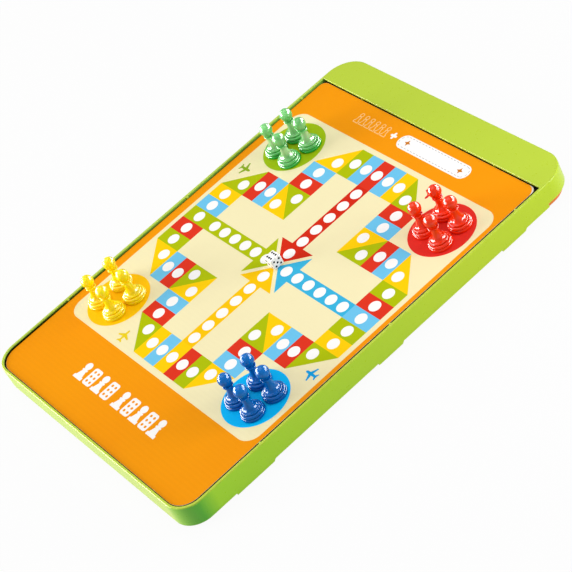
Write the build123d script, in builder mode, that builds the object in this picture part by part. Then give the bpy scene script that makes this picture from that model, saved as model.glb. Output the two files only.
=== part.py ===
"""Ludo board box: a flat two-shell game case with a game card let into its lid.

The base tray rests on the table and the lid shell covers it like a book cover. The lid turns
on three hinge pins along its left long edge, and three tabs on its right long edge reach past
the skirt. A printed card on a backing board lies in the lid's recess below a full-height
header band. Sixteen pawns and one die stand on the card.

Axes: X across the case, Y along it towards the header band, Z up.
Origin: the middle of the case, on the table. All sizes are in millimetres.
"""
import os
from math import sqrt

from build123d import *

# --- driving dimensions: the case ------------------------------------------------------------
CASE_WIDTH = 209.4            # outer size along X
CASE_LENGTH = 297.4           # outer size along Y
CASE_HEIGHT = 17.6            # table to rim top
CORNER_RADIUS = 15.0          # outer near corners in plan
FAR_CORNER_RADIUS = 18.0      # outer corners of the header band in plan
TOP_EDGE_RADIUS = 0.8         # rounding of the lid's upper outer edge

# --- driving dimensions: lid shell -----------------------------------------------------------
SKIRT_WALL = 1.8              # side wall, and the rim around the recess
SKIRT_LIFT = 2.7              # height of the skirt's lower edge above the table
HEADER_RELIEF = 2.4           # extra height of the skirt's lower edge around the header end
HEADER_DEPTH = 23.5           # header band, measured along Y from the far edge
HEADER_PLATE = 1.2            # roof of the hollow below the header band
LIP_OVERHANG = 1.0            # header roof past the upright wall below its edge
LIP_WALL = 1.5                # upright wall between the recess and the header hollow
LID_PLATE = 1.5               # floor of the recess
RIM_REVEAL = 1.3              # how far the rim stands above the card
RIM_EDGE_RADIUS = 0.35        # rounding of the recess's upper edge

# --- driving dimensions: tabs on the opening edge --------------------------------------------
TAB_DROP = 1.3                # how far the tabs reach below the skirt
TAB_SLOPE = 1.4               # run of each tab's sloped far end
NEAR_TAB_INSET = 47.0         # near end of the case to the middle of the near tab
NEAR_TAB_LENGTH = 28.4
FAR_TAB_INSET = 51.7          # far end of the case to the middle of the far tab
SHORT_TAB_LENGTH = 19.4       # middle and far tabs

# --- driving dimensions: card and backing board ----------------------------------------------
CARD_THICKNESS = 1.5
CARD_SIDE_GAP = 1.7           # card to each side rim, before its shift
CARD_SHIFT_X = -0.4           # the card lies slightly towards the hinge side
CARD_NEAR_GAP = 0.6           # card to the near rim
CARD_LIP_GAP = 0.8            # card to header lip
CARD_FAR_RADIUS = 4.5
CARD_NEAR_RADIUS = 12.4
BACKING_THICKNESS = 1.0
BACKING_GAP = 0.2             # backing board to the recess wall

# --- driving dimensions: locating nubs around the card ---------------------------------------
NUB_RADIUS = 0.8
SIDE_NUB_REACH = 1.0          # out of the side rims
LIP_NUB_REACH = 0.5           # out of the header lip
SIDE_NUB_NEAR_INSET = 58.8    # near end of the case to the nearest side nub
SIDE_NUB_FAR_INSET = 43.0     # far end of the case to the farthest side nub
LIP_NUB_SPACING = 126.0
NUB_TOP_GAP = 0.4             # nub top below the rim top

# --- driving dimensions: base tray -----------------------------------------------------------
SHELL_CLEARANCE = 0.4         # skirt to tray, all round
TRAY_WALL = 1.6
TRAY_FLOOR = 1.2
TRAY_FOOT_RADIUS = 2.0        # rounding of the tray's lower edge
SEAT_CLEARANCE = 0.3          # tray wall top to the lid plate
PARTITION_WALL = 1.5

# --- driving dimensions: hinge ---------------------------------------------------------------
BARREL_RADIUS = 2.2
BARREL_LIFT = 0.3             # barrel above the table
PIN_RADIUS = 0.9
PIN_CLEARANCE = 0.05          # radial, pin in its bore
HINGE_INSET = 52.5            # end of the case to the middle of the outer hinge stations
TRAY_KNUCKLE = 12.0           # length of the tray's knuckle
LID_KNUCKLE = 5.7             # length of each lid knuckle, one on either side of the tray's
KNUCKLE_GAP = 0.3             # between neighbouring knuckles
POCKET_CLEARANCE = 0.3        # lid knuckle in the tray's pocket
POCKET_WALL = 1.5             # behind each pocket
PIN_END_INSET = 0.4           # pin end below the knuckle's end face
SKIRT_HINGE_GAP = 0.4         # barrel top to the raised skirt edge

# --- driving dimensions: board layout and pieces ---------------------------------------------
BOARD_CENTRE_X = 1.1          # middle of the track, measured from the case's middle
BOARD_CENTRE_Y = 1.7
PAWN_PLACES = {               # where each pawn stands, from the middle of the track
    "green": [(-78.5, 79.5), (-63.0, 78.5), (-80.0, 64.0), (-64.5, 62.5)],
    "red": [(64.5, 81.5), (80.0, 80.0), (64.0, 66.0), (80.5, 64.0)],
    "yellow": [(-81.5, -63.5), (-64.0, -65.0), (-82.0, -80.5), (-65.0, -80.5)],
    "blue": [(65.0, -63.5), (80.5, -64.0), (64.5, -80.0), (80.0, -80.0)],
}
PAWN_BASE_RADIUS = 7.5        # lowest of the three base rings
PAWN_BASE_HEIGHT = 2.1
PAWN_MIDDLE_RING_RADIUS = 7.15
PAWN_MIDDLE_RING_HEIGHT = 1.75
PAWN_UPPER_RING_RADIUS = 5.75
PAWN_UPPER_RING_HEIGHT = 1.2
PAWN_RING_GROOVE = 0.35       # depth of the groove below each ring
PAWN_FLARE_RADIUS = 4.95      # foot of the smooth flare above the rings
PAWN_WAIST_RADIUS = 2.1
PAWN_WAIST_HEIGHT = 13.2
PAWN_COLLAR_RADIUS = 3.3
PAWN_COLLAR_HEIGHT = 0.9
PAWN_HEAD_RADIUS = 4.05
PAWN_HEAD_HEIGHT = 18.5       # middle of the ball head above the card
DIE_SIZE = 7.5
DIE_EDGE_RADIUS = 0.9
DIE_PIP_PITCH = 1.85
DIE_PIP_RADIUS = 0.72
DIE_PIP_DEPTH = 0.28
DIE_OFFSET_X = -0.4           # from the middle of the track
DIE_OFFSET_Y = 0.4

# --- sizes worked out from the driving dimensions --------------------------------------------
CARD_TOP = CASE_HEIGHT - RIM_REVEAL
CARD_BOTTOM = CARD_TOP - CARD_THICKNESS
PLATE_TOP = CARD_BOTTOM - BACKING_THICKNESS
PLATE_BOTTOM = PLATE_TOP - LID_PLATE
HEADER_ROOF = CASE_HEIGHT - HEADER_PLATE
RAISED_SKIRT = SKIRT_LIFT + HEADER_RELIEF
TAB_BOTTOM = SKIRT_LIFT - TAB_DROP

HALF_WIDTH = CASE_WIDTH / 2
HALF_LENGTH = CASE_LENGTH / 2
STRAIGHT_HALF_LENGTH = HALF_LENGTH - CORNER_RADIUS
CASE_RADII = (CORNER_RADIUS, FAR_CORNER_RADIUS)
SKIRT_INNER_LENGTH = CASE_LENGTH - 2 * SKIRT_WALL
LIP_Y = HALF_LENGTH - HEADER_DEPTH
LIP_WALL_Y = LIP_Y + LIP_OVERHANG
HEADER_HOLLOW_Y = LIP_WALL_Y + LIP_WALL
RECESS_WIDTH = CASE_WIDTH - 2 * SKIRT_WALL
RECESS_RADIUS = CORNER_RADIUS - SKIRT_WALL
SKIRT_INNER_RADII = (RECESS_RADIUS, FAR_CORNER_RADIUS - SKIRT_WALL)
RECESS_NEAR_Y = SKIRT_WALL - HALF_LENGTH
RECESS_LENGTH = LIP_Y - RECESS_NEAR_Y
CARD_FAR_Y = LIP_Y - CARD_LIP_GAP
CARD_WIDTH = RECESS_WIDTH - 2 * CARD_SIDE_GAP
CARD_LENGTH = RECESS_LENGTH - CARD_NEAR_GAP - CARD_LIP_GAP

TRAY_INSET = SKIRT_WALL + SHELL_CLEARANCE
TRAY_WIDTH = CASE_WIDTH - 2 * TRAY_INSET
TRAY_LENGTH = CASE_LENGTH - 2 * TRAY_INSET
TRAY_RADII = (CORNER_RADIUS - TRAY_INSET, FAR_CORNER_RADIUS - TRAY_INSET)
TRAY_INNER_RADII = (TRAY_RADII[0] - TRAY_WALL, TRAY_RADII[1] - TRAY_WALL)
TRAY_TOP = PLATE_BOTTOM - SEAT_CLEARANCE
TRAY_SIDE_X = -TRAY_WIDTH / 2

HINGE_X = BARREL_RADIUS - HALF_WIDTH
HINGE_Z = BARREL_RADIUS + BARREL_LIFT
HINGE_SKIRT = HINGE_Z + BARREL_RADIUS + SKIRT_HINGE_GAP
HINGE_STATIONS = [HINGE_INSET - HALF_LENGTH, 0.0, HALF_LENGTH - HINGE_INSET]
STATION_LENGTH = TRAY_KNUCKLE + 2 * (KNUCKLE_GAP + LID_KNUCKLE)
LID_KNUCKLE_OFFSET = (TRAY_KNUCKLE + LID_KNUCKLE) / 2 + KNUCKLE_GAP
POCKET_LENGTH = LID_KNUCKLE + 2 * KNUCKLE_GAP
POCKET_BLOCK = STATION_LENGTH + 2 * (KNUCKLE_GAP + POCKET_WALL)
POCKET_RADIUS = BARREL_RADIUS + POCKET_CLEARANCE
POCKET_BACK_X = HINGE_X + POCKET_RADIUS
POCKET_TOP = HINGE_Z + POCKET_RADIUS
BORE_RADIUS = PIN_RADIUS + PIN_CLEARANCE
PIN_LENGTH = STATION_LENGTH - 2 * PIN_END_INSET

TABS = [                      # middle along Y, and length
    (NEAR_TAB_INSET - HALF_LENGTH, NEAR_TAB_LENGTH),
    (0.0, SHORT_TAB_LENGTH),
    (HALF_LENGTH - FAR_TAB_INSET, SHORT_TAB_LENGTH),
]
NUB_TOP = CASE_HEIGHT - NUB_TOP_GAP
SIDE_NUB_X = HALF_WIDTH - SKIRT_WALL + NUB_RADIUS - SIDE_NUB_REACH
LIP_NUB_Y = LIP_Y + NUB_RADIUS - LIP_NUB_REACH
NEAR_NUB_Y = SIDE_NUB_NEAR_INSET - HALF_LENGTH
FAR_NUB_Y = HALF_LENGTH - SIDE_NUB_FAR_INSET
SIDE_NUBS_Y = [NEAR_NUB_Y, (NEAR_NUB_Y + FAR_NUB_Y) / 2, FAR_NUB_Y]
LIP_NUBS_X = [-LIP_NUB_SPACING / 2, LIP_NUB_SPACING / 2]

PAWN_RINGS = [                # largest radius, and height
    (PAWN_BASE_RADIUS, PAWN_BASE_HEIGHT),
    (PAWN_MIDDLE_RING_RADIUS, PAWN_MIDDLE_RING_HEIGHT),
    (PAWN_UPPER_RING_RADIUS, PAWN_UPPER_RING_HEIGHT),
]
PAWN_RING_FEET = [ring_radius - PAWN_RING_GROOVE for ring_radius, _ in PAWN_RINGS]
PAWN_RING_FEET.append(PAWN_FLARE_RADIUS)
PAWN_RINGS_TOP = sum(ring_height for _, ring_height in PAWN_RINGS)
PAWN_COLLAR_FLAT = PAWN_COLLAR_RADIUS - PAWN_COLLAR_HEIGHT / 2
PAWN_COLLAR_TOP = PAWN_WAIST_HEIGHT + PAWN_COLLAR_HEIGHT
PAWN_HEAD_FOOT = PAWN_HEAD_HEIGHT - sqrt(PAWN_HEAD_RADIUS**2 - PAWN_WAIST_RADIUS**2)

DIE_MIDDLE = (BOARD_CENTRE_X + DIE_OFFSET_X, BOARD_CENTRE_Y + DIE_OFFSET_Y, CARD_TOP + DIE_SIZE / 2)
DIE_PIP_SPHERE = (DIE_PIP_RADIUS**2 + DIE_PIP_DEPTH**2) / (2 * DIE_PIP_DEPTH)
DIE_PIP_LIFT = DIE_PIP_SPHERE - DIE_PIP_DEPTH
DIE_PIPS = {
    1: [(0, 0)],
    2: [(-1, -1), (1, 1)],
    3: [(-1, 1), (0, 0), (1, -1)],
    4: [(-1, -1), (-1, 1), (1, -1), (1, 1)],
    5: [(-1, -1), (-1, 1), (0, 0), (1, -1), (1, 1)],
    6: [(-1, -1), (0, -1), (1, -1), (-1, 1), (0, 1), (1, 1)],
}
DIE_FACES = [                 # outward direction, direction across the face, number of pips
    ((0, 0, 1), (1, 0, 0), 6),
    ((1, 0, 0), (0, 1, 0), 5),
    ((0, -1, 0), (1, 0, 0), 3),
    ((0, 1, 0), (1, 0, 0), 4),
    ((-1, 0, 0), (0, 1, 0), 2),
    ((0, 0, -1), (1, 0, 0), 1),
]


def write_part(part, name):
    """Label one finished piece and write it as parts/name.step."""
    part.label = name
    export_step(part, f"parts/{name}.step")


def case_plan(width, length, radii):
    """Return the case's plan at one size: a rectangle with a near and a far corner radius."""
    with BuildSketch(mode=Mode.PRIVATE) as plan:
        Rectangle(width, length)
        fillet(plan.vertices().group_by(Axis.Y)[0], radius=radii[0])
        fillet(plan.vertices().group_by(Axis.Y)[-1], radius=radii[1])
    return plan.sketch


def add_block(low, high, mode=Mode.ADD):
    """Add an upright block, from its low corner to its high corner, to the part being built."""
    size = [high_end - low_end for low_end, high_end in zip(low, high)]
    with Locations(low):
        Box(*size, align=(Align.MIN, Align.MIN, Align.MIN), mode=mode)


def add_hinge_rod(y_middle, length, radius, mode=Mode.ADD):
    """Add a round rod on the hinge line to the part being built."""
    with Locations((HINGE_X, y_middle, HINGE_Z)):
        Cylinder(radius, length, rotation=(90, 0, 0), mode=mode)


os.makedirs("parts", exist_ok=True)

# --- lid shell: skirt, recess for the card, header band, tabs and hinge knuckles -------------
with BuildPart() as lid_shell:
    with BuildSketch(Plane.XY.offset(SKIRT_LIFT)):
        add(case_plan(CASE_WIDTH, CASE_LENGTH, CASE_RADII))
    extrude(amount=CASE_HEIGHT - SKIRT_LIFT)
    fillet(lid_shell.faces().sort_by(Axis.Z)[-1].edges(), radius=TOP_EDGE_RADIUS)

    # recess for the backing board and the card, square where it meets the header lip
    with BuildSketch(Plane.XY.offset(PLATE_TOP)) as recess_plan:
        with Locations((0, RECESS_NEAR_Y)):
            Rectangle(RECESS_WIDTH, RECESS_LENGTH, align=(Align.CENTER, Align.MIN))
        fillet(recess_plan.vertices().group_by(Axis.Y)[0], radius=RECESS_RADIUS)
    extrude(amount=CASE_HEIGHT - PLATE_TOP, mode=Mode.SUBTRACT)
    rim_face = lid_shell.faces().sort_by(Axis.Z)[-1]
    fillet(rim_face.inner_wires()[0].edges(), radius=RIM_EDGE_RADIUS)

    # the header's roof reaches past the wall below it
    add_block(
        (-RECESS_WIDTH / 2, LIP_Y, PLATE_TOP),
        (RECESS_WIDTH / 2, LIP_WALL_Y, HEADER_ROOF),
        mode=Mode.SUBTRACT,
    )

    # hollow that takes the tray
    with BuildSketch(Plane.XY.offset(SKIRT_LIFT)):
        add(case_plan(RECESS_WIDTH, SKIRT_INNER_LENGTH, SKIRT_INNER_RADII))
    extrude(amount=PLATE_BOTTOM - SKIRT_LIFT, mode=Mode.SUBTRACT)

    # taller hollow below the header band
    with BuildSketch(Plane.XY.offset(PLATE_BOTTOM)):
        add(case_plan(RECESS_WIDTH, SKIRT_INNER_LENGTH, SKIRT_INNER_RADII))
        with Locations((0, HEADER_HOLLOW_Y)):
            Rectangle(
                CASE_WIDTH, HEADER_DEPTH, align=(Align.CENTER, Align.MIN), mode=Mode.INTERSECT
            )
    extrude(amount=HEADER_ROOF - PLATE_BOTTOM, mode=Mode.SUBTRACT)

    # the skirt's lower edge is raised around the header end and along the hinge side
    add_block(
        (-HALF_WIDTH, LIP_Y, SKIRT_LIFT),
        (HALF_WIDTH, HALF_LENGTH, RAISED_SKIRT),
        mode=Mode.SUBTRACT,
    )
    add_block(
        (-HALF_WIDTH, -STRAIGHT_HALF_LENGTH, SKIRT_LIFT),
        (CORNER_RADIUS - HALF_WIDTH, LIP_Y, HINGE_SKIRT),
        mode=Mode.SUBTRACT,
    )

    # tabs below the skirt on the opening edge, each with a sloped far end
    for tab_y, tab_length in TABS:
        with BuildSketch(Plane.YZ.offset(HALF_WIDTH - SKIRT_WALL)):
            Polygon(
                (tab_y - tab_length / 2, SKIRT_LIFT),
                (tab_y - tab_length / 2, TAB_BOTTOM),
                (tab_y + tab_length / 2 - TAB_SLOPE, TAB_BOTTOM),
                (tab_y + tab_length / 2, SKIRT_LIFT),
                align=None,
            )
        extrude(amount=SKIRT_WALL)

    # nubs that keep the card in the middle of its recess
    for nub_y in SIDE_NUBS_Y:
        for side in (-1, 1):
            with BuildSketch(Plane.XY.offset(CARD_BOTTOM)):
                with Locations((side * SIDE_NUB_X, nub_y)):
                    Circle(NUB_RADIUS)
            extrude(amount=NUB_TOP - CARD_BOTTOM)
    for nub_x in LIP_NUBS_X:
        with BuildSketch(Plane.XY.offset(CARD_BOTTOM)):
            with Locations((nub_x, LIP_NUB_Y)):
                Circle(NUB_RADIUS)
                Rectangle(2 * NUB_RADIUS, LIP_OVERHANG, align=(Align.CENTER, Align.MIN))
        extrude(amount=NUB_TOP - CARD_BOTTOM)

    # two knuckles at each hinge station, hung from the raised skirt
    for station_y in HINGE_STATIONS:
        for side in (-1, 1):
            knuckle_y = station_y + side * LID_KNUCKLE_OFFSET
            add_block(
                (-HALF_WIDTH, knuckle_y - LID_KNUCKLE / 2, HINGE_Z),
                (SKIRT_WALL - HALF_WIDTH, knuckle_y + LID_KNUCKLE / 2, HINGE_SKIRT),
            )
            add_hinge_rod(knuckle_y, LID_KNUCKLE, BARREL_RADIUS)
        add_hinge_rod(station_y, STATION_LENGTH, BORE_RADIUS, mode=Mode.SUBTRACT)
write_part(lid_shell.part, "lid_shell")

# --- backing board: fills the floor of the recess ---------------------------------------------
with BuildPart() as backing_board:
    with BuildSketch(Plane.XY.offset(PLATE_TOP)) as backing_plan:
        with Locations((0, RECESS_NEAR_Y + BACKING_GAP)):
            Rectangle(
                RECESS_WIDTH - 2 * BACKING_GAP,
                RECESS_LENGTH + LIP_OVERHANG - 2 * BACKING_GAP,
                align=(Align.CENTER, Align.MIN),
            )
        fillet(backing_plan.vertices().group_by(Axis.Y)[0], radius=RECESS_RADIUS - BACKING_GAP)
    extrude(amount=BACKING_THICKNESS)
write_part(backing_board.part, "backing_board")

# --- game card ---------------------------------------------------------------------------------
with BuildPart() as game_card:
    with BuildSketch(Plane.XY.offset(CARD_BOTTOM)) as card_plan:
        with Locations((CARD_SHIFT_X, CARD_FAR_Y)):
            Rectangle(CARD_WIDTH, CARD_LENGTH, align=(Align.CENTER, Align.MAX))
        fillet(card_plan.vertices().group_by(Axis.Y)[0], radius=CARD_NEAR_RADIUS)
        fillet(card_plan.vertices().group_by(Axis.Y)[-1], radius=CARD_FAR_RADIUS)
    extrude(amount=CARD_THICKNESS)
write_part(game_card.part, "game_card")

# --- base tray: floor, wall, partition below the header lip, hinge pockets and knuckles ------
with BuildPart() as base_tray:
    with BuildSketch():
        add(case_plan(TRAY_WIDTH, TRAY_LENGTH, TRAY_RADII))
    extrude(amount=TRAY_TOP)
    fillet(base_tray.faces().sort_by(Axis.Z)[0].edges(), radius=TRAY_FOOT_RADIUS)
    with BuildSketch(Plane.XY.offset(TRAY_FLOOR)):
        add(case_plan(TRAY_WIDTH - 2 * TRAY_WALL, TRAY_LENGTH - 2 * TRAY_WALL, TRAY_INNER_RADII))
    extrude(amount=TRAY_TOP - TRAY_FLOOR, mode=Mode.SUBTRACT)
    add_block(
        (TRAY_SIDE_X + TRAY_WALL / 2, LIP_Y, TRAY_FLOOR),
        (-TRAY_SIDE_X - TRAY_WALL / 2, LIP_Y + PARTITION_WALL, TRAY_TOP),
    )

    for station_y in HINGE_STATIONS:
        # walled pockets that clear the lid's knuckles, open at the outside and below
        add_block(
            (TRAY_SIDE_X + TRAY_WALL / 2, station_y - POCKET_BLOCK / 2, TRAY_FLOOR / 2),
            (POCKET_BACK_X + POCKET_WALL, station_y + POCKET_BLOCK / 2, POCKET_TOP + POCKET_WALL),
        )
        for side in (-1, 1):
            pocket_y = station_y + side * LID_KNUCKLE_OFFSET
            add_hinge_rod(pocket_y, POCKET_LENGTH, POCKET_RADIUS, mode=Mode.SUBTRACT)
            add_block(
                (-HALF_WIDTH, pocket_y - POCKET_LENGTH / 2, 0),
                (POCKET_BACK_X, pocket_y + POCKET_LENGTH / 2, HINGE_Z),
                mode=Mode.SUBTRACT,
            )
        # the tray's own knuckle between them
        add_block(
            (HINGE_X, station_y - TRAY_KNUCKLE / 2, BARREL_LIFT),
            (POCKET_BACK_X, station_y + TRAY_KNUCKLE / 2, HINGE_Z + BARREL_RADIUS),
        )
        add_hinge_rod(station_y, TRAY_KNUCKLE, BARREL_RADIUS)
        add_hinge_rod(station_y, TRAY_KNUCKLE, BORE_RADIUS, mode=Mode.SUBTRACT)
write_part(base_tray.part, "base_tray")

# --- hinge pins --------------------------------------------------------------------------------
for number, station_y in enumerate(HINGE_STATIONS, start=1):
    with BuildPart() as hinge_pin:
        add_hinge_rod(station_y, PIN_LENGTH, PIN_RADIUS)
    write_part(hinge_pin.part, f"hinge_pin_{number}")

# --- pawns: turned pieces with three base rings, a waist, a collar and a ball head -----------
for colour, places in PAWN_PLACES.items():
    for number, (place_x, place_y) in enumerate(places, start=1):
        foot = (BOARD_CENTRE_X + place_x, BOARD_CENTRE_Y + place_y, CARD_TOP)
        with BuildPart() as pawn:
            with BuildSketch(Plane(origin=foot, x_dir=(1, 0, 0), z_dir=(0, -1, 0))):
                with BuildLine():
                    Line((0, 0), (PAWN_RING_FEET[0], 0))
                    ring_z = 0.0
                    for (ring_radius, ring_height), foot_radius, next_foot in zip(
                        PAWN_RINGS, PAWN_RING_FEET, PAWN_RING_FEET[1:]
                    ):
                        bulge = ring_radius + PAWN_RING_GROOVE / 2
                        Bezier(
                            (foot_radius, ring_z),
                            (bulge, ring_z + ring_height * 0.2),
                            (bulge, ring_z + ring_height),
                            (next_foot, ring_z + ring_height),
                        )
                        ring_z += ring_height
                    Bezier(
                        (PAWN_FLARE_RADIUS, PAWN_RINGS_TOP),
                        (PAWN_FLARE_RADIUS * 0.7, PAWN_RINGS_TOP * 1.04),
                        (PAWN_WAIST_RADIUS * 1.17, PAWN_WAIST_HEIGHT * 0.59),
                        (PAWN_WAIST_RADIUS, PAWN_WAIST_HEIGHT),
                    )
                    Line((PAWN_WAIST_RADIUS, PAWN_WAIST_HEIGHT), (PAWN_COLLAR_FLAT, PAWN_WAIST_HEIGHT))
                    ThreePointArc(
                        (PAWN_COLLAR_FLAT, PAWN_WAIST_HEIGHT),
                        (PAWN_COLLAR_RADIUS, PAWN_WAIST_HEIGHT + PAWN_COLLAR_HEIGHT / 2),
                        (PAWN_COLLAR_FLAT, PAWN_COLLAR_TOP),
                    )
                    Polyline(
                        (PAWN_COLLAR_FLAT, PAWN_COLLAR_TOP),
                        (PAWN_WAIST_RADIUS, PAWN_COLLAR_TOP),
                        (PAWN_WAIST_RADIUS, PAWN_HEAD_FOOT),
                    )
                    ThreePointArc(
                        (PAWN_WAIST_RADIUS, PAWN_HEAD_FOOT),
                        (PAWN_HEAD_RADIUS, PAWN_HEAD_HEIGHT),
                        (0, PAWN_HEAD_HEIGHT + PAWN_HEAD_RADIUS),
                    )
                    Line((0, PAWN_HEAD_HEIGHT + PAWN_HEAD_RADIUS), (0, 0))
                make_face()
            revolve(axis=Axis(foot, (0, 0, 1)))
        write_part(pawn.part, f"pawn_{colour}_{number}")

# --- die: opposite faces add up to seven -------------------------------------------------------
with BuildPart() as die:
    with Locations(DIE_MIDDLE):
        Box(DIE_SIZE, DIE_SIZE, DIE_SIZE)
    fillet(die.edges(), radius=DIE_EDGE_RADIUS)
    for outward, across, pips in DIE_FACES:
        face_plane = Plane(origin=DIE_MIDDLE, x_dir=across, z_dir=outward)
        with Locations(face_plane.offset(DIE_SIZE / 2 + DIE_PIP_LIFT)):
            with Locations([(DIE_PIP_PITCH * u, DIE_PIP_PITCH * v, 0) for u, v in DIE_PIPS[pips]]):
                Sphere(DIE_PIP_SPHERE, mode=Mode.SUBTRACT)
write_part(die.part, "die")
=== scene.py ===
"""Dresses the folding ludo board box: printed card, moulded plastics, pawns and die."""
import math

import bmesh
import bpy
from mathutils import Matrix, Vector
from mathutils.geometry import delaunay_2d_cdt


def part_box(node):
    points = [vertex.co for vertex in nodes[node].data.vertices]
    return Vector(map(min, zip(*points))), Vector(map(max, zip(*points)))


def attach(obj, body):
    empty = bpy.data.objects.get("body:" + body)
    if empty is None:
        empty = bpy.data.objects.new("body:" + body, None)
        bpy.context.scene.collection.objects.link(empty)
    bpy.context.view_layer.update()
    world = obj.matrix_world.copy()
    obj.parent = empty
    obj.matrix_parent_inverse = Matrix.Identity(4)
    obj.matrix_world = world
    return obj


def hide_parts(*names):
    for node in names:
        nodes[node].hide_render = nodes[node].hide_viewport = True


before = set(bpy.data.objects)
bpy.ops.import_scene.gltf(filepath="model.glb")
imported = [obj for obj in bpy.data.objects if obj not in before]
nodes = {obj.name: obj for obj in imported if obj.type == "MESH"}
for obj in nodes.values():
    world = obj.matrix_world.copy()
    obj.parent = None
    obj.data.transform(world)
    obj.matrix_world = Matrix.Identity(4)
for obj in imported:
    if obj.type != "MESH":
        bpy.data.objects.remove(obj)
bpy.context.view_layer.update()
scene = bpy.context.scene

MM = 0.001
UP, DOWN = (0.0, 0.0, 1.0), (0.0, 0.0, -1.0)
WHITE, BLACK = (1.0, 1.0, 1.0, 1.0), (0.0, 0.0, 0.0, 1.0)
WAVE_NODE_PHASE = 20          # a wave node of scale 1 runs through this many radians per metre
MIX_FIRST, MIX_SECOND, MIX_RESULT = 6, 7, 2     # the colour sockets of a Mix node


# --- colours, node materials and meshes -------------------------------------------------------
def linear(red, green, blue):
    """A display colour of 0 to 255 as linear RGBA."""
    def channel(value):
        value /= 255
        return value / 12.92 if value <= 0.04045 else ((value + 0.055) / 1.055) ** 2.4
    return (channel(red), channel(green), channel(blue), 1.0)


def dimmed(colour, share):
    """The colour with only a share of its light."""
    return tuple(share * channel for channel in colour[:3]) + (1.0,)


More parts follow.
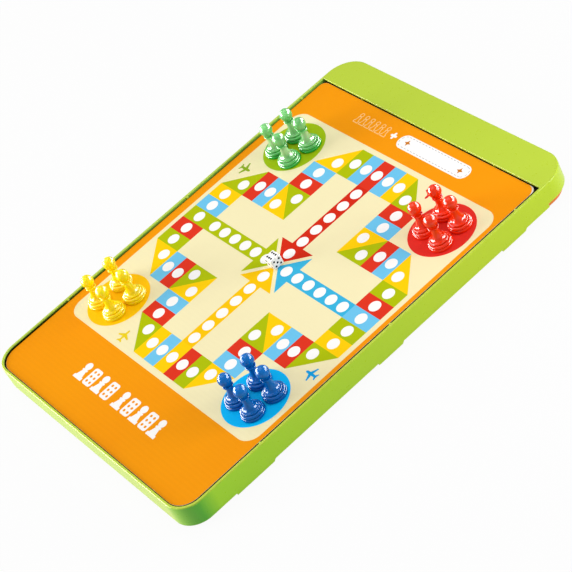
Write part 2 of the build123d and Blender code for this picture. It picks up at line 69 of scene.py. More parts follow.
class Finish:
    """One node material, built from small steps in the object's own coordinates."""

    def __init__(self, name):
        self.material = bpy.data.materials.new(name)
        self.material.use_nodes = True
        self.tree = self.material.node_tree
        self.tree.nodes.clear()
        self.output = self.tree.nodes.new("ShaderNodeOutputMaterial")
        self.place = self.tree.nodes.new("ShaderNodeTexCoord")

    def link(self, start, end):
        self.tree.links.new(start, end)

    def feed(self, value, socket):
        """Sets a constant on the socket, or links another node's output to it."""
        if isinstance(value, (int, float, tuple)):
            socket.default_value = value
        else:
            self.link(value, socket)

    def math(self, operation, first, second):
        made = self.tree.nodes.new("ShaderNodeMath")
        made.operation = operation
        self.feed(first, made.inputs[0])
        self.feed(second, made.inputs[1])
        return made.outputs[0]

    def stretch(self, scale):
        """The object's coordinates, scaled along each axis."""
        made = self.tree.nodes.new("ShaderNodeMapping")
        made.inputs["Scale"].default_value = scale
        self.link(self.place.outputs["Object"], made.inputs["Vector"])
        return made.outputs[0]

    def noise(self, per_metre, detail=3.0, roughness=0.55, vector=None):
        made = self.tree.nodes.new("ShaderNodeTexNoise")
        made.inputs["Scale"].default_value = per_metre
        made.inputs["Detail"].default_value = detail
        made.inputs["Roughness"].default_value = roughness
        self.link(vector or self.place.outputs["Object"], made.inputs["Vector"])
        return made.outputs["Fac"]

    def wave(self, pitch_mm, direction, distortion):
        """Parallel bands, pitch_mm apart along the direction."""
        made = self.tree.nodes.new("ShaderNodeTexWave")
        made.bands_direction = direction
        made.inputs["Scale"].default_value = 1000 / pitch_mm / WAVE_NODE_PHASE * 2 * math.pi
        made.inputs["Distortion"].default_value = distortion
        made.inputs["Detail Scale"].default_value = 2.0
        self.link(self.place.outputs["Object"], made.inputs["Vector"])
        return made.outputs["Fac"]

    def spread(self, value, low, high, from_low=0.0, from_high=1.0):
        """Maps from_low to from_high onto low to high, and stops at both ends."""
        made = self.tree.nodes.new("ShaderNodeMapRange")
        made.clamp = True
        self.link(value, made.inputs["Value"])
        made.inputs["From Min"].default_value = from_low
        made.inputs["From Max"].default_value = from_high
        made.inputs["To Min"].default_value = low
        made.inputs["To Max"].default_value = high
        return made.outputs["Result"]

    def fade(self, axis, start, end, low=0.0, high=1.0):
        """low up to the start place on an axis of the object, high from the end place on, in metres."""
        split = self.tree.nodes.new("ShaderNodeSeparateXYZ")
        self.link(self.place.outputs["Object"], split.inputs[0])
        return self.spread(split.outputs[axis], low, high, start, end)

    def blend(self, factor, first, second):
        """The first colour where the factor is 0, the second where it is 1."""
        made = self.tree.nodes.new("ShaderNodeMix")
        made.data_type = "RGBA"
        made.clamp_result = True
        self.feed(factor, made.inputs["Factor"])
        self.feed(first, made.inputs[MIX_FIRST])
        self.feed(second, made.inputs[MIX_SECOND])
        return made.outputs[MIX_RESULT]

    def relief(self, height, depth_mm, normal=None):
        made = self.tree.nodes.new("ShaderNodeBump")
        made.inputs["Strength"].default_value = 1.0
        made.inputs["Distance"].default_value = depth_mm * MM
        self.link(height, made.inputs["Height"])
        if normal is not None:
            self.link(normal, made.inputs["Normal"])
        return made.outputs["Normal"]

    def dot(self, first, second):
        """How far two directions agree, from -1 to 1."""
        made = self.tree.nodes.new("ShaderNodeVectorMath")
        made.operation = "DOT_PRODUCT"
        self.feed(first, made.inputs[0])
        self.feed(second, made.inputs[1])
        return made.outputs["Value"]

    def facing(self, direction, start=0.1, end=0.9):
        """1 on faces that look along the direction at rest, 0 on those across it or turned away."""
        return self.spread(self.dot(self.place.outputs["Normal"], direction), 0.0, 1.0, start, end)

    def edges(self, radius_mm):
        """0 on flat ground, towards 1 along convex and concave edges."""
        bevel = self.tree.nodes.new("ShaderNodeBevel")
        bevel.samples = 4
        bevel.inputs["Radius"].default_value = radius_mm * MM
        ground = self.tree.nodes.new("ShaderNodeNewGeometry")
        agreement = self.dot(bevel.outputs["Normal"], ground.outputs["Normal"])
        return self.spread(agreement, 1.0, 0.0, 0.75, 0.99)

    def recess(self, distance_mm):
        """1 in the open, towards 0 in grooves and corners of the piece itself."""
        made = self.tree.nodes.new("ShaderNodeAmbientOcclusion")
        made.samples = 6
        made.only_local = True
        made.inputs["Distance"].default_value = distance_mm * MM
        return made.outputs["AO"]

    def principled(self, colour, roughness, normal, **constants):
        """Closes the material with a principled shader and returns the material."""
        shader = self.tree.nodes.new("ShaderNodeBsdfPrincipled")
        self.feed(colour, shader.inputs["Base Color"])
        self.feed(roughness, shader.inputs["Roughness"])
        self.feed(normal, shader.inputs["Normal"])
        for key, value in constants.items():
            shader.inputs[key.replace("_", " ")].default_value = value
        self.link(shader.outputs["BSDF"], self.output.inputs["Surface"])
        return self.material


def add_mesh(name, mesh, material):
    """Adds an object made from a bmesh, and frees the bmesh."""
    data = bpy.data.meshes.new(name)
    mesh.to_mesh(data)
    mesh.free()
    data.materials.append(material)
    made = bpy.data.objects.new(name, data)
    scene.collection.objects.link(made)
    return made


def dress(node_name, material):
    """Puts the material in every slot of a CAD node."""
    for material_slot in nodes[node_name].material_slots:
        material_slot.material = material


# --- moulded plastic of the case --------------------------------------------------------------
# the lid's top green is a paler copy of its wall green: painted sheen on faces that look up
LID_TOP_PAINTED_SHEEN, LID_WALL = linear(184, 208, 44), linear(188, 215, 12)
# the richer green and the deep corner green along the right side are painted shade
LID_SHADED_WALL, LID_SHADED_CORNER = linear(162, 224, 0), linear(70, 178, 6)
# the pale rim green is painted light on the left rim's inner face, and the dark foot green is a painted
# shadow line along its foot
RIM_PAINTED_LIGHT, RIM_PAINTED_SHADOW = linear(150, 232, 110), linear(30, 34, 0)
# the paler edge tones of the lid and the tray are partly wear and partly painted highlight
LID_EDGE_WEAR_AND_HIGHLIGHT = linear(222, 235, 126)
# the tray's top orange is a brighter copy of its wall orange: painted light on faces that look up
TRAY_TOP_PAINTED_LIGHT, TRAY_WALL, TRAY_EDGE_WEAR_AND_HIGHLIGHT = linear(240, 140, 22), linear(232, 126, 18), linear(250, 170, 70)

# where each painted shade and light of the lid starts and ends, in metres along an axis of the lid
RIGHT_SIDE = (0.088, 0.104)             # X, towards the right wall
SHADED_LENGTH = (-0.149, 0.06)            # Y, from the near end to past the middle
NEAR_CORNER = (-0.137, -0.126)          # Y, just past the near corner's curve
LEFT_RIM = (-0.09, -0.08)               # X, inside the left rim and its corners
SHADOW_LINE = (0.0165, 0.0169)            # Z, just above the card's face
SHADOW_LINE_LENGTH = (-0.12, 0.0)         # Y, over which the painted shadow line grows faint
TOWARDS_CARD = (1.0, 1.0, 0.0)          # the way that the left rim's and its near corner's insides look


def moulded(f, tone, wall, wear_and_highlight):
    """Satin moulded plastic: fine grain, faint flow marks, paler edges that are partly wear and partly
    painted highlight, and painted shade in grooves and recesses.
    """
    flow = f.noise(30.0, detail=2.0, vector=f.stretch((1.0, 0.25, 1.0)))
    tone = f.blend(f.spread(flow, 0.0, 0.05, 0.4, 0.7), tone, dimmed(wall, 0.5))
    # paler edges: partly wear, partly painted highlight
    tone = f.blend(f.math("MULTIPLY", f.edges(0.9), 0.7), tone, wear_and_highlight)
    # painted shade: grooves and recesses of the piece darken towards a dim copy of the wall colour
    painted_groove_shade = f.spread(f.recess(4.0), 0.85, 0.0, 0.05, 0.35)
    tone = f.blend(painted_groove_shade, tone, dimmed(wall, 0.12))
    grain = f.noise(2600.0, detail=2.0)
    rough = f.spread(f.noise(600.0), 0.27, 0.33, 0.3, 0.7)
    return f.principled(tone, rough, f.relief(grain, 0.005), Specular_IOR_Level=0.5)


def right_side_shade(f, tone):
    """Painted shade along the right side: a richer green towards the near end, deepest at the near corner."""
    right = f.fade("X", *RIGHT_SIDE)
    near = f.fade("Y", *SHADED_LENGTH, low=1.0, high=0.0)
    corner = f.math("MULTIPLY", right, f.fade("Y", *NEAR_CORNER, low=0.95, high=0.0))
    # painted shade: the right side grows a richer green towards the near end, deepest at the near corner
    tone = f.blend(f.math("MULTIPLY", right, near), tone, LID_SHADED_WALL)
    return f.blend(corner, tone, LID_SHADED_CORNER)


def left_rim_light_and_shadow(f, tone):
    """Painted light and shadow inside the left rim: a paler green on its inner face and a dark shadow line
    along its foot.
    """
    inside = f.math("MULTIPLY", f.facing(TOWARDS_CARD, 0.3, 0.7), f.fade("X", *LEFT_RIM, low=1.0, high=0.0))
    # painted light: the left rim's inner face takes a paler green
    tone = f.blend(f.math("MULTIPLY", inside, 0.6), tone, RIM_PAINTED_LIGHT)
    # painted shadow: a dark line along the foot of the rim's inner face, fading towards the far end
    foot = f.math("MULTIPLY", inside, f.fade("Z", *SHADOW_LINE, low=1.0, high=0.0))
    foot = f.math("MULTIPLY", foot, f.fade("Y", *SHADOW_LINE_LENGTH, low=1.0, high=0.25))
    return f.blend(foot, tone, RIM_PAINTED_SHADOW)


def lid_green():
    f = Finish("case_green")
    # painted sheen: faces that look up take the paler top green
    tone = f.blend(f.facing(UP), right_side_shade(f, LID_WALL), LID_TOP_PAINTED_SHEEN)
    return moulded(f, left_rim_light_and_shadow(f, tone), LID_WALL, LID_EDGE_WEAR_AND_HIGHLIGHT)


def tray_orange():
    f = Finish("tray_orange_plastic")
    # painted light: faces that look up take the brighter top orange
    return moulded(f, f.blend(f.facing(UP), TRAY_WALL, TRAY_TOP_PAINTED_LIGHT), TRAY_WALL, TRAY_EDGE_WEAR_AND_HIGHLIGHT)


def backing_black_and_gap_shade():
    """Matt black board with a faint lay of fibres; its black also stands in for the shade in the gap round
    the card.
    """
    f = Finish("backing_board_black_and_gap_shade")
    fibre = f.noise(420.0, detail=4.0, vector=f.stretch((1.0, 3.0, 1.0)))
    # the board's black also stands in for the shade in the gap round the card
    tone = f.blend(f.spread(fibre, 0.0, 1.0, 0.3, 0.75), linear(8, 8, 9), linear(24, 23, 24))
    return f.principled(tone, f.spread(fibre, 0.6, 0.85), f.relief(fibre, 0.03), Specular_IOR_Level=0.1)


def pin_steel():
    """Drawn steel wire, streaked along the pin."""
    f = Finish("pin_drawn_steel")
    draw = f.noise(1400.0, vector=f.stretch((3.0, 0.08, 3.0)))
    tone = f.blend(f.spread(draw, 0.0, 1.0, 0.3, 0.7), linear(188, 190, 194), linear(150, 152, 158))
    return f.principled(tone, f.spread(draw, 0.22, 0.4), f.relief(draw, 0.01), Metallic=1.0)


dress("lid_shell", lid_green())
dress("base_tray", tray_orange())
dress("backing_board", backing_black_and_gap_shade())
steel = pin_steel()
for number in (1, 2, 3):
    dress(f"hinge_pin_{number}", steel)

# --- drawing the card's print -----------------------------------------------------------------
# All print is in millimetres from the middle of the track. Later shapes lie over earlier ones.
BOARD_CENTRE = (1.1, 1.7)     # the middle of the track, from the middle of the case
shapes = []                   # (ink, points) in painter's order


def mark(name, points):
    """Adds a shape in one ink, with its points anticlockwise."""
    area = sum(p[0] * q[1] - q[0] * p[1] for p, q in zip(points, points[1:] + points[:1]))
    shapes.append((name, points if area > 0 else points[::-1]))


def box(name, x0, y0, x1, y1):
    mark(name, [(x0, y0), (x1, y0), (x1, y1), (x0, y1)])


def disc(name, x, y, radius, steps=40):
    angles = [2 * math.pi * i / steps for i in range(steps)]
    mark(name, [(x + radius * math.cos(angle), y + radius * math.sin(angle)) for angle in angles])


def rounded(x0, y0, x1, y1, radii, steps=10):
    """Outline of a rectangle with radii for its (x1,y1), (x0,y1), (x0,y0), (x1,y0) corners."""
    points = []
    corners = ((x1, y1, 0), (x0, y1, 90), (x0, y0, 180), (x1, y0, 270))
    for (x, y, start), radius in zip(corners, radii):
        centre_x = x - radius if x == x1 else x + radius
        centre_y = y - radius if y == y1 else y + radius
        for i in range(steps + 1):
            turn = math.radians(start + 90 * i / steps)
            points.append((centre_x + radius * math.cos(turn), centre_y + radius * math.sin(turn)))
    return points


def turned(points, quarter, x=0.0, y=0.0):
    """Points turned by quarter turns about the origin, then moved."""
    cosine, sine = ((1, 0), (0, 1), (-1, 0), (0, -1))[quarter]
    return [(cosine * px - sine * py + x, sine * px + cosine * py + y) for px, py in points]


# the card's ground, the cream field and the four home discs
CARD = (-101.6 - BOARD_CENTRE[0], -146.3 - BOARD_CENTRE[1],
        100.8 - BOARD_CENTRE[0], 124.4 - BOARD_CENTRE[1])
CARD_TOP, CARD_BOTTOM = 16.30, 14.80    # heights above the surface that the case lies on
CARD_RADII = (4.5, 4.5, 12.4, 12.4)     # in the order that rounded() takes
PRINT_RADII = (6.6, 4.6, 12.4, 12.4)
EDGE_SOFTENING = 0.12         # the chamfer of the cut edge; the print keeps this far from the edge
CARD_CORNER_STEPS = 14
CREAM = (-96.1, -96.9, 96.4, 96.4)
CREAM_RADIUS = 9.5
HOMES = {"disc_green": (-72.4, 72.3), "disc_red": (72.5, 71.6), "disc_yellow": (-72.3, -72.7),
         "disc_blue": (72.1, -72.5)}
HOME_RADIUS, HOME_STEPS = 20.8, 96


def card_outline(inset, radii):
    return rounded(CARD[0] + inset, CARD[1] + inset, CARD[2] - inset, CARD[3] - inset,
                   radii, CARD_CORNER_STEPS)


mark("orange", card_outline(EDGE_SOFTENING, PRINT_RADII))
mark("cream", rounded(*CREAM, (CREAM_RADIUS,) * 4))
for name, (x, y) in HOMES.items():
    disc(name, x, y, HOME_RADIUS, HOME_STEPS)

# the track: arms of cells, triangles, coloured lanes with arrows, and white circles on all of them
CELL = 10.65                  # cell pitch along the track
DEPTH = 22.5                  # depth of the cells across the track
HALF_ARM = 2.5 * CELL
ARM_END = HALF_ARM + DEPTH + 2 * CELL   # from the middle to the inner side of an arm's end cells
CIRCLE = 3.88                 # radius of the white circles
END_CIRCLE_LIFT = 0.2         # the end cells' circles sit slightly outside the cells' middle line
TRIANGLE_CIRCLE = 6.34        # from a triangle's square corner to its circle, both ways
LANE_START = 17.0
LANE_OVERLAP = 0.01           # a lane runs this far onto its end cell
LANE_CIRCLES, FIRST_LANE_CIRCLE, LANE_CIRCLE_PITCH = 6, 10.31, 10.88
ARROW_HALF_WIDTH, ARROW_BASE, ARROW_TIP = 15.3, 17.1, 1.8
circles = []                  # middles of the white circles


def arm(quarter, end_inks, lane):
    """One arm of the track and the square on its left, drawn as the top arm and then turned."""
    def put(name, points):
        mark(name, turned(points, quarter))

    def circle(x, y):
        circles.append(turned([(x, y)], quarter)[0])

    for i, name in enumerate(end_inks):
        x = -HALF_ARM + i * CELL
        put(name, [(x, ARM_END), (x + CELL, ARM_END), (x + CELL, ARM_END + DEPTH), (x, ARM_END + DEPTH)])
        circle(x + CELL / 2, ARM_END + DEPTH / 2 + END_CIRCLE_LIFT)
    for sign, corner_ink, side_inks in ((-1, "yellow", ("sky", "red")), (1, "leaf", ("red", "sky"))):
        near, far = sign * HALF_ARM, sign * (HALF_ARM + DEPTH)
        put(corner_ink, [(near, ARM_END), (near, ARM_END + DEPTH), (far, ARM_END)])
        circle(sign * (HALF_ARM + TRIANGLE_CIRCLE), ARM_END + TRIANGLE_CIRCLE)
        for i, name in enumerate(side_inks):
            y = ARM_END - (i + 1) * CELL
            put(name, [(near, y), (near, y + CELL), (far, y + CELL), (far, y)])
            circle(sign * (HALF_ARM + DEPTH / 2), y + CELL / 2)
    inner, outer = HALF_ARM, HALF_ARM + DEPTH
    put("leaf", [(-inner, outer), (-outer, outer), (-inner, inner)])
    circle(-inner - TRIANGLE_CIRCLE, outer - TRIANGLE_CIRCLE)
    put("yellow", [(-outer, inner), (-inner, inner), (-outer, outer)])
    circle(-outer + TRIANGLE_CIRCLE, inner + TRIANGLE_CIRCLE)
    put(lane, [(-CELL / 2, LANE_START), (CELL / 2, LANE_START),
               (CELL / 2, ARM_END + LANE_OVERLAP), (-CELL / 2, ARM_END + LANE_OVERLAP)])
    put(lane, [(-ARROW_HALF_WIDTH, ARROW_BASE), (ARROW_HALF_WIDTH, ARROW_BASE), (0.0, ARROW_TIP)])
    for i in range(LANE_CIRCLES):
        circle(0.0, FIRST_LANE_CIRCLE + LANE_CIRCLE_PITCH * i)


arm(0, ("leaf", "sky", "red", "sky", "yellow"), "lane_red")
arm(1, ("leaf", "red", "leaf", "sky", "yellow"), "leaf")
arm(2, ("leaf", "red", "yellow", "sky", "yellow"), "lane_yellow")
arm(3, ("leaf", "red", "sky", "leaf", "yellow"), "lane_blue")
for x, y in circles:
    disc("white", x, y, CIRCLE)

# little aeroplanes between the home discs and the track: ink, quarter turns and place
HALF_PLANE = [(4.75, 0.0), (4.5, 0.5), (3.8, 0.85), (1.8, 0.95), (0.4, 3.4), (-0.2, 4.85), (-1.3, 4.85),
              (-1.05, 3.3), (-0.6, 0.95), (-2.8, 0.75), (-3.9, 2.2), (-4.8, 2.2), (-4.2, 0.45), (-4.5, 0.0)]
PLANE = HALF_PLANE + [(x, -y) for x, y in HALF_PLANE[-2:0:-1]]
PLANES = (("plane_green", 0, -88.0, 43.0), ("plane_blue", 2, 88.1, -43.0),
          ("plane_yellow", 1, -43.3, -88.7), ("plane_red", 3, 43.3, 88.4))
for name, quarter, x, y in PLANES:
    mark(name, turned(PLANE, quarter, x, y))

# the blank name panel: a stitched line round it and a star at either end
PANEL = (-11.7, 105.0, 53.1, 116.0)
PANEL_MIDDLE_Y = (PANEL[1] + PANEL[3]) / 2
PANEL_RADIUS = 5.45
STITCHES, STITCH_PITCH, STITCH_LENGTH, STITCH_WIDTH = 19, 2.94, 1.7, 0.4
STITCH_ROWS = ((PANEL[1] + 1.45, 6.1), (PANEL[3] - 1.15, 5.6))    # Y, and how far in the row starts
END_STITCHES, END_STITCH_START, END_STITCH_TURN = 4, 101.0, 41.0       # the angles in degrees
END_STITCH_CENTRE = 5.5       # in from the panel's end
# the inner and outer side of a dash at the ends: radius, and turns in radians
END_STITCH_SIDES = ((4.1, (0.0, 0.2, 0.4)), (4.5, (0.4, 0.2, 0.0)))
STARS = ((-3.85, 110.6), (45.4, 110.25))
STAR_REACH, STAR_WAIST = 2.55, 1.1

mark("white", rounded(*PANEL, (PANEL_RADIUS,) * 4, steps=12))
for y, first in STITCH_ROWS:
    for i in range(STITCHES):
        x = PANEL[0] + first + i * STITCH_PITCH
        box("stitch", x, y - STITCH_WIDTH / 2, x + STITCH_LENGTH, y + STITCH_WIDTH / 2)
for i in range(END_STITCHES):
    start = math.radians(END_STITCH_START + END_STITCH_TURN * i)
    dash = [(radius * math.cos(start + turn), radius * math.sin(start + turn))
            for radius, turns in END_STITCH_SIDES for turn in turns]
    mark("stitch", [(PANEL[0] + END_STITCH_CENTRE + x, PANEL_MIDDLE_Y + y) for x, y in dash])
    mark("stitch", [(PANEL[2] - END_STITCH_CENTRE - x, PANEL_MIDDLE_Y + y) for x, y in dash])
for star_x, star_y in STARS:
    rays = [(STAR_WAIST if i % 2 else STAR_REACH, i * math.pi / 4) for i in range(8)]
    mark("tan", [(star_x + reach * math.cos(turn), star_y + reach * math.sin(turn)) for reach, turn in rays])

# the small cross beside the panel
CROSS_X, CROSS_Y = -17.35, 110.8
CROSS_LONG, CROSS_SHORT, CROSS_RADIUS = 2.7, 0.85, 0.7
for half_x, half_y in ((CROSS_LONG, CROSS_SHORT), (CROSS_SHORT, CROSS_LONG)):
    mark("white", rounded(CROSS_X - half_x, CROSS_Y - half_y, CROSS_X + half_x, CROSS_Y + half_y,
                          (CROSS_RADIUS,) * 4, steps=4))

# rows of pawns and die faces in the two places that hold words on the real card; the half widths
# and the head's radius are shares of a figure's width, and the heights are shares of its height
HEAD_RADIUS = 0.33
BASE_HALF_WIDTH, BASE_HEIGHT = 0.5, 0.17
FOOT_HALF_WIDTH, FOOT_HEIGHT = 0.42, 0.1
NECK_HALF_WIDTH, NECK_HEIGHT = 0.15, 0.62
COLLAR_HALF_WIDTH, COLLAR_HEIGHTS = 0.3, (0.5, 0.6)
COLLAR_CORNER = 0.35          # radius, mm
FACE_PIP_X, FACE_PIP_Y, FACE_PIP_RADIUS = 0.21, 0.28, 0.12


def pawn_figure(name, x, y, width, height, grow=0.0):
    """A bold pawn silhouette that stands at y, or a grown or shrunk copy of it."""
    def sides_at(half_width):
        return x - width * half_width - grow, x + width * half_width + grow

    head = width * HEAD_RADIUS
    disc(name, x, y + height - head, head + grow, steps=28)
    left, right = sides_at(BASE_HALF_WIDTH)
    box(name, left, y - grow, right, y + height * BASE_HEIGHT + grow)
    foot_left, foot_right = sides_at(FOOT_HALF_WIDTH)
    neck_left, neck_right = sides_at(NECK_HALF_WIDTH)
    foot_y, neck_y = y + height * FOOT_HEIGHT, y + height * NECK_HEIGHT
    mark(name, [(foot_left, foot_y), (foot_right, foot_y), (neck_right, neck_y), (neck_left, neck_y)])
    left, right = sides_at(COLLAR_HALF_WIDTH)
    bottom, top = (y + height * share for share in COLLAR_HEIGHTS)
    mark(name, rounded(left, bottom - grow, right, top + grow, (COLLAR_CORNER + grow,) * 4, steps=4))


def die_figure(name, pips, x, y, width, height, radius):
    """A tall die face with six pips."""
    mark(name, rounded(x - width / 2, y, x + width / 2, y + height, (radius,) * 4, steps=6))
    for row in (-1, 0, 1):
        for column in (-1, 1):
            disc(pips, x + column * width * FACE_PIP_X, y + height / 2 + row * height * FACE_PIP_Y,
                 width * FACE_PIP_RADIUS, steps=20)


NEAR_ROW, NEAR_ROW_START, NEAR_ROW_PITCH = 9, -43.1, 9.6
BEFORE_GAP, GAP = 4, 3.4                # figures before the near row's gap, and its extra width
FAR_ROW, FAR_ROW_START, FAR_ROW_PITCH = 6, -51.7, 5.36
NEAR_DIE_Y, NEAR_PAWN_Y, FAR_PAWN_Y = -126.3, -126.4, 106.9
FAR_ROW_INKS = (("peach", 0.28), ("orange", -0.22))     # a pale pawn, and a slimmer one over it
for i in range(NEAR_ROW):
    x = NEAR_ROW_START + i * NEAR_ROW_PITCH + (GAP if i >= BEFORE_GAP else 0.0)
    if i % 2:
        die_figure("white", "orange", x, NEAR_DIE_Y, width=7.9, height=12.6, radius=1.8)
    else:
        pawn_figure("white", x, NEAR_PAWN_Y, width=8.2, height=13.0)
for i in range(FAR_ROW):
    x = FAR_ROW_START + i * FAR_ROW_PITCH
    for name, grow in FAR_ROW_INKS:
        pawn_figure(name, x, FAR_PAWN_Y, width=4.0, height=7.9, grow=grow)

# --- printing the card ------------------------------------------------------------------------
FILM = 0.03                   # thickness of an ink's film, mm
SAME_POINT = 1e-4             # points closer than this are merged, mm
INSIDE_ONLY = 1               # output type of the triangulation: only what lies inside a shape
INKS = {                      # the ink, and its tone in the clouds and specks
    "orange": (linear(244, 153, 2), linear(236, 135, 4)),
    "cream": (linear(243, 233, 186), linear(236, 222, 176)),
    "white": (linear(250, 248, 246), linear(238, 236, 232)),
    "red": (linear(224, 54, 30), linear(204, 40, 26)),
    "sky": (linear(112, 196, 234), linear(94, 184, 228)),
    "yellow": (linear(252, 206, 0), linear(246, 192, 0)),
    "leaf": (linear(176, 190, 0), linear(160, 178, 2)),
    "disc_green": (linear(163, 192, 14), linear(148, 180, 16)),
    "disc_red": (linear(227, 48, 38), linear(206, 36, 32)),
    "disc_yellow": (linear(254, 200, 2), linear(248, 184, 2)),
    "disc_blue": (linear(0, 188, 248), linear(0, 174, 240)),
    "lane_red": (linear(214, 42, 18), linear(196, 32, 14)),
    "lane_yellow": (linear(248, 196, 0), linear(242, 186, 0)),
    "lane_blue": (linear(58, 180, 221), linear(40, 168, 214)),
    "plane_green": (linear(140, 172, 30), linear(126, 160, 26)),
    "plane_blue": (linear(10, 160, 222), linear(8, 146, 210)),
    "plane_yellow": (linear(232, 204, 30), linear(222, 190, 26)),
    "plane_red": (linear(222, 44, 40), linear(204, 36, 36)),
    "stitch": (linear(172, 172, 176), linear(158, 158, 162)),
    "tan": (linear(203, 122, 28), linear(191, 112, 24)),
    "peach": (linear(253, 206, 140), linear(250, 196, 124)),
}


def ink(name):
    """A litho ink on laminated board: laid texture, faint clouding and fluting that shows through."""
    colour, shade = INKS[name]
    f = Finish("print_" + name)
    cloud = f.noise(14.0, detail=4.0)
    tone = f.blend(f.spread(cloud, 0.0, 0.35, 0.35, 0.75), colour, shade)
    speck = f.noise(1500.0, detail=2.0, roughness=0.7)
    tone = f.blend(f.spread(speck, 0.0, 0.1, 0.45, 0.75), tone, shade)
    flute = f.wave(3.0, "Y", distortion=0.6)
    near_end = f.fade("Y", -0.14, -0.02, low=1.0, high=0.15)
    tone = f.blend(f.math("MULTIPLY", f.math("MULTIPLY", flute, 0.02), near_end), tone, BLACK)
    laid = f.math("ADD", f.wave(0.55, "X", distortion=1.2), f.wave(0.6, "Y", distortion=1.2))
    normal = f.relief(laid, 0.006)
    normal = f.relief(f.math("MULTIPLY", flute, near_end), 0.003, normal)
    rough = f.spread(f.noise(220.0, detail=4.0), 0.45, 0.59, 0.3, 0.7)
    return f.principled(tone, rough, normal, Specular_IOR_Level=0.05)


def card_board():
    """The board under the print: pale above and below, and dark along its cut sides as painted shade for the
    dark gap round the card.
    """
    f = Finish("card_board")
    fibre = f.noise(900.0, detail=4.0, vector=f.stretch((0.25, 0.25, 5.0)))
    pulp = f.noise(300.0)
    tone = f.blend(f.spread(fibre, 0.0, 1.0, 0.3, 0.7), linear(236, 232, 222), linear(206, 198, 182))
    tone = f.blend(f.spread(pulp, 0.0, 0.3, 0.4, 0.7), tone, linear(188, 178, 160))
    # painted shade: the cut sides are dark to give the dark line in the gap round the card
    flat = f.math("MAXIMUM", f.facing(UP), f.facing(DOWN))
    tone = f.blend(flat, linear(52, 44, 34), tone)
    return f.principled(tone, 0.85, f.relief(fibre, 0.03))


def sides(triangle):
    return zip(triangle, triangle[1:] + triangle[:1])


def film(name, triangles, points, bottom, top, material):
    """A closed thin layer over some of the triangles; parts that only meet at a point share no vertex."""
    along = {}                # the triangles on each side, by the side's two points
    for triangle in triangles:
        for side in sides(triangle):
            along.setdefault(tuple(sorted(side)), []).append(triangle)

    # corners of triangles that meet along a side are joined into one vertex
    parent = {}

    def root(key):
        while parent.setdefault(key, key) != key:
            key = parent[key]
        return key

    for side, pair in along.items():
        if len(pair) == 2:
            for point in side:
                parent[root((pair[0], point))] = root((pair[1], point))

    mesh = bmesh.new()
    made = {}

    def corner(triangle, point):
        key = root((triangle, point))
        if key not in made:
            x, y = points[point]
            made[key] = [mesh.verts.new((x * MM, y * MM, z * MM)) for z in (bottom, top)]
        return made[key]

    for triangle in triangles:
        mesh.faces.new([corner(triangle, point)[1] for point in triangle])
        mesh.faces.new([corner(triangle, point)[0] for point in reversed(triangle)])
        for start, end in sides(triangle):
            if len(along[tuple(sorted((start, end)))]) == 1:
                low_start, high_start = corner(triangle, start)
                low_end, high_end = corner(triangle, end)
                mesh.faces.new((high_start, low_start, low_end, high_end))
    return add_mesh(name, mesh, material)


def print_layers():
    """Cuts the overlapping shapes into one flat mosaic and gives each ink its own closed film."""
    corners, faces = [], []
    for _, points in shapes:
        faces.append(list(range(len(corners), len(corners) + len(points))))
        corners.extend(Vector((x + BOARD_CENTRE[0], y + BOARD_CENTRE[1])) for x, y in points)
    points, _, triangles, _, _, sources = delaunay_2d_cdt(corners, [], faces, INSIDE_ONLY, SAME_POINT, True)
    by_ink = {}
    for triangle, inside in zip(triangles, sources):
        if inside:
            by_ink.setdefault(shapes[max(inside)][0], []).append(tuple(triangle))
    return [film("ink_" + name, found, points, CARD_TOP - FILM, CARD_TOP, ink(name))
            for name, found in by_ink.items()]


def board_core():
    """The board under the print, with slightly softened cut edges."""
    mesh = bmesh.new()
    top = CARD_TOP - FILM
    rings = []
    for inset, z in ((EDGE_SOFTENING, CARD_BOTTOM), (0.0, CARD_BOTTOM + EDGE_SOFTENING),
                     (0.0, top - EDGE_SOFTENING), (EDGE_SOFTENING, top)):
        outline = card_outline(inset, [radius - inset for radius in CARD_RADII])
        rings.append([mesh.verts.new(((x + BOARD_CENTRE[0]) * MM, (y + BOARD_CENTRE[1]) * MM, z * MM))
                      for x, y in outline])
    for low, high in zip(rings, rings[1:]):
        for i in range(len(low)):
            j = (i + 1) % len(low)
            mesh.faces.new((low[i], low[j], high[j], high[i]))
    mesh.faces.new(rings[0][::-1])
    mesh.faces.new(rings[-1])
    return mesh


for layer in print_layers():
    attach(layer, "card")
core = add_mesh("card_core", board_core(), card_board())
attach(core, "card")
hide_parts("game_card")

# --- pawns ------------------------------------------------------------------------------------
PAWN_FOOT_Z, PAWN_NECK_Z = 0.0175, 0.0285         # metres above the surface that the case lies on
CROWN_BLEND = 0.0015          # half the height over which the head's painted tone sets in, metres


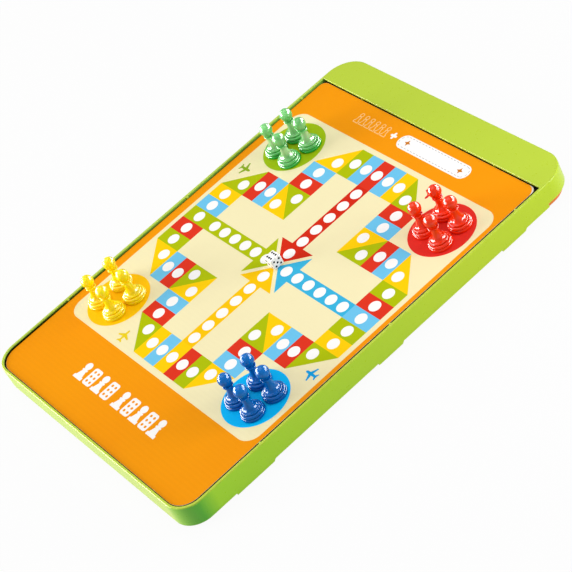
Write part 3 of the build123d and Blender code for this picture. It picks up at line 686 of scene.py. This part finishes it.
def pawn_plastic(name, head, foot, deep_and_groove_shade, gloss, rough=0.10, patches=0.3, crown=None, subsurface=0.0,
                 radius=None):
    """Glossy plastic with painted light and shade: paler in the slim neck and head than in the solid foot,
    darker in its grooves.
    """
    f = Finish(name)
    # painted light and shade: the slim neck and head paler, the solid foot deeper, and on the green pawns a
    # greener crown
    tone = f.blend(f.fade("Z", PAWN_FOOT_Z, PAWN_NECK_Z), foot, head)
    if crown:
        tone = f.blend(f.fade("Z", PAWN_NECK_Z - CROWN_BLEND, PAWN_NECK_Z + CROWN_BLEND), tone, crown)
    streak = f.noise(140.0, vector=f.stretch((1.0, 1.0, 0.35)))
    tone = f.blend(f.spread(streak, 0.0, patches, 0.35, 0.7), tone, deep_and_groove_shade)
    # painted shade in the grooves between the rings and under the collar
    tone = f.blend(f.spread(f.recess(1.6), 0.75, 0.0, 0.25, 0.85), tone, deep_and_groove_shade)
    handling = f.noise(900.0, detail=4.0)
    roughness = f.spread(handling, rough, rough + 0.05, 0.35, 0.75)
    orange_peel = f.relief(f.noise(520.0, detail=2.0), 0.008)
    constants = {"Specular_IOR_Level": gloss}
    if subsurface:
        constants.update(Subsurface_Weight=subsurface, Subsurface_Scale=0.003, Subsurface_Radius=radius)
    return f.principled(tone, roughness, orange_peel, **constants)


PAWNS = {
    "green": pawn_plastic("pawn_green_pearl", linear(216, 246, 190), linear(14, 178, 64), linear(0, 140, 40),
                          gloss=0.7, rough=0.16, patches=0.6, crown=linear(146, 222, 140), subsurface=0.6,
                          radius=(0.3, 1.0, 0.4)),
    "red": pawn_plastic("pawn_red_gloss", linear(242, 54, 0), linear(238, 42, 0), linear(202, 22, 0),
                        gloss=0.42),
    "yellow": pawn_plastic("pawn_yellow_gloss", linear(255, 234, 0), linear(255, 218, 0), linear(255, 196, 0),
                           gloss=0.4, rough=0.19, subsurface=0.8, radius=(1.0, 0.8, 0.1)),
    "blue": pawn_plastic("pawn_blue_gloss", linear(0, 112, 198), linear(0, 92, 174), linear(0, 66, 142),
                         gloss=0.28),
}
pawn_names = [name for name in nodes if name.startswith("pawn_")]
for name in pawn_names:
    dress(name, PAWNS[name.split("_")[1]])

# --- die --------------------------------------------------------------------------------------
PIP_PITCH = 1.85              # mm
PIP_REACH = 0.72              # half the side of the square that a pip lies in, mm
PIP_FIELD = 2.7               # half width of the part of a face that holds pips, mm
PIP_LEAST_DEPTH = 0.015       # faces nearer to the die's flat sides than this aren't painted, mm


def die_ivory():
    f = Finish("die_ivory")
    mottle = f.noise(260.0)
    tone = f.blend(f.spread(mottle, 0.0, 0.4, 0.3, 0.7), linear(250, 250, 248), linear(232, 230, 224))
    tone = f.blend(f.math("MULTIPLY", f.edges(0.5), 0.25), tone, linear(214, 210, 200))
    return f.principled(tone, f.spread(mottle, 0.16, 0.3), f.relief(f.noise(900.0), 0.008),
                        Specular_IOR_Level=0.55)


def die_pip_paint():
    f = Finish("die_pip_paint")
    mottle = f.noise(1800.0)
    tone = f.blend(f.spread(mottle, 0.0, 1.0, 0.3, 0.7), linear(5, 5, 6), linear(16, 16, 18))
    return f.principled(tone, f.spread(mottle, 0.6, 0.8), f.relief(mottle, 0.02), Specular_IOR_Level=0.1)


def paint_pips(mesh):
    """Gives the second material to the faces inside the pips of a die's mesh."""
    low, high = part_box("die")
    middle, half = (low + high) / 2, (high - low) / 2
    for polygon in mesh.polygons:
        offset = (Vector(polygon.center) - middle) / MM
        axis = max(range(3), key=lambda i: abs(offset[i]))
        across = [offset[i] for i in range(3) if i != axis]
        depth = half[axis] / MM - abs(offset[axis])
        on_pip = all(min(abs(value - k * PIP_PITCH) for k in (-1, 0, 1)) < PIP_REACH for value in across)
        if depth > PIP_LEAST_DEPTH and on_pip and max(abs(value) for value in across) < PIP_FIELD:
            polygon.material_index = 1


die = bpy.data.objects.new("die_painted", nodes["die"].data.copy())
scene.collection.objects.link(die)
die.data.materials.clear()
die.data.materials.append(die_ivory())
die.data.materials.append(die_pip_paint())
paint_pips(die.data)
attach(die, "die_body")
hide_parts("die")

# --- floor and room ---------------------------------------------------------------------------
FLOOR_HALF_SIZE = 45.0        # metres, so that the floor's end stays low in flat views
FLOOR_TONE = (0.65, 0.65, 0.65, 1.0)
WHITE_FLOOR = 0.95            # share of the floor that shows as plain white; the rest takes shadow
BACKDROP = 0.45               # how bright the room itself looks, directly and in reflections
FILL = 0.46                   # strength of the room's even light


def seen_directly(tree):
    """1 for camera, glossy and transmission rays."""
    path = tree.nodes.new("ShaderNodeLightPath")
    total = path.outputs["Is Camera Ray"]
    for name in ("Is Glossy Ray", "Is Transmission Ray"):
        made = tree.nodes.new("ShaderNodeMath")
        made.operation = "MAXIMUM"
        tree.links.new(total, made.inputs[0])
        tree.links.new(path.outputs[name], made.inputs[1])
        total = made.outputs[0]
    return total


def floor_white():
    """A pale floor that glows nearly white where it is seen, and takes soft shadows."""
    f = Finish("floor_white")
    cloth = f.tree.nodes.new("ShaderNodeBsdfDiffuse")
    cloth.inputs["Color"].default_value = FLOOR_TONE
    glow = f.tree.nodes.new("ShaderNodeEmission")
    glow.inputs["Color"].default_value = WHITE
    mix = f.tree.nodes.new("ShaderNodeMixShader")
    f.link(f.math("MULTIPLY", seen_directly(f.tree), WHITE_FLOOR), mix.inputs[0])
    f.link(cloth.outputs[0], mix.inputs[1])
    f.link(glow.outputs[0], mix.inputs[2])
    f.link(mix.outputs[0], f.output.inputs["Surface"])
    return f.material


def studio_room():
    """An even white room, whose light and whose looks have separate strengths."""
    world = bpy.data.worlds.new("studio")
    world.use_nodes = True
    tree = world.node_tree
    tree.nodes.clear()
    mix = tree.nodes.new("ShaderNodeMixShader")
    tree.links.new(seen_directly(tree), mix.inputs[0])
    for socket, strength in ((mix.inputs[1], FILL), (mix.inputs[2], BACKDROP)):
        background = tree.nodes.new("ShaderNodeBackground")
        background.inputs["Color"].default_value = WHITE
        background.inputs["Strength"].default_value = strength
        tree.links.new(background.outputs[0], socket)
    out = tree.nodes.new("ShaderNodeOutputWorld")
    tree.links.new(mix.outputs[0], out.inputs["Surface"])
    return world


floor_mesh = bmesh.new()
bmesh.ops.create_grid(floor_mesh, x_segments=1, y_segments=1, size=FLOOR_HALF_SIZE)
floor = add_mesh("floor", floor_mesh, floor_white())
scene.world = studio_room()

# --- lamps ------------------------------------------------------------------------------------
playing_pieces = bpy.data.collections.new("playing_pieces")
for piece in [nodes[name] for name in pawn_names] + [die]:
    playing_pieces.objects.link(piece)
case_shells = bpy.data.collections.new("case_shells")
case_shells.objects.link(nodes["lid_shell"])

# name, direction from the object, distance, width and height in metres, power in watts, and for a
# highlight panel the only pieces that mirror it
LAMPS = (
    ("overhead", (-0.28, 0.02, 1.0), 1.6, 1.4, 1.4, 9.7, None),
    ("fill_left", (-0.60, -0.78, 0.22), 1.6, 0.8, 0.9, 24.0, None),
    ("fill_right", (0.66, 0.66, 0.37), 0.68, 0.3, 0.2, 2.0, None),
    ("panel_left", (-0.70, -0.66, 0.26), 1.5, 2.3, 1.0, 150.0, playing_pieces),
    ("panel_behind", (0.17, 0.93, 0.36), 1.5, 2.3, 0.9, 130.0, playing_pieces),
    ("panel_case", (-0.70, -0.66, 0.26), 1.5, 1.6, 0.9, 32.0, case_shells),
)


def softbox(name, direction, distance, width, height, power, mirrored_by):
    """Adds a soft rectangular lamp, or a highlight panel that lights nothing and is only mirrored."""
    lamp = bpy.data.lights.new(name, "AREA")
    lamp.shape = "RECTANGLE"
    lamp.size = width
    lamp.size_y = height
    lamp.energy = power
    lamp_object = bpy.data.objects.new(name, lamp)
    scene.collection.objects.link(lamp_object)
    if mirrored_by:
        lamp_object.visible_diffuse = False
        lamp_object.light_linking.receiver_collection = mirrored_by
    toward = Vector(direction).normalized()
    lamp_object.location = toward * distance
    lamp_object.rotation_mode = "QUATERNION"
    lamp_object.rotation_quaternion = toward.to_track_quat("Z", "Y")


for lamp_values in LAMPS:
    softbox(*lamp_values)

# --- camera, in the photo's view --------------------------------------------------------------
FOCAL_LENGTH, SENSOR_WIDTH = 133.09, 36.0
CLIP_NEAR, CLIP_FAR = 0.05, 50.0
CAMERA_PLACE = (0.90551, -0.30181, 0.78835)
CAMERA_RIGHT = Vector((0.57476, 0.72401, -0.38138))
CAMERA_BACK = Vector((0.73071, -0.24427, 0.63749))

camera_data = bpy.data.cameras.new("camera")
camera_data.lens = FOCAL_LENGTH
camera_data.sensor_width = SENSOR_WIDTH
camera_data.clip_start = CLIP_NEAR
camera_data.clip_end = CLIP_FAR
camera = bpy.data.objects.new("camera", camera_data)
scene.collection.objects.link(camera)
camera_axes = Matrix((CAMERA_RIGHT, CAMERA_BACK.cross(CAMERA_RIGHT), CAMERA_BACK)).transposed()
camera.rotation_mode = "QUATERNION"
camera.rotation_quaternion = camera_axes.to_quaternion()
camera.location = CAMERA_PLACE
scene.camera = camera
scene.view_settings.view_transform = "Standard"
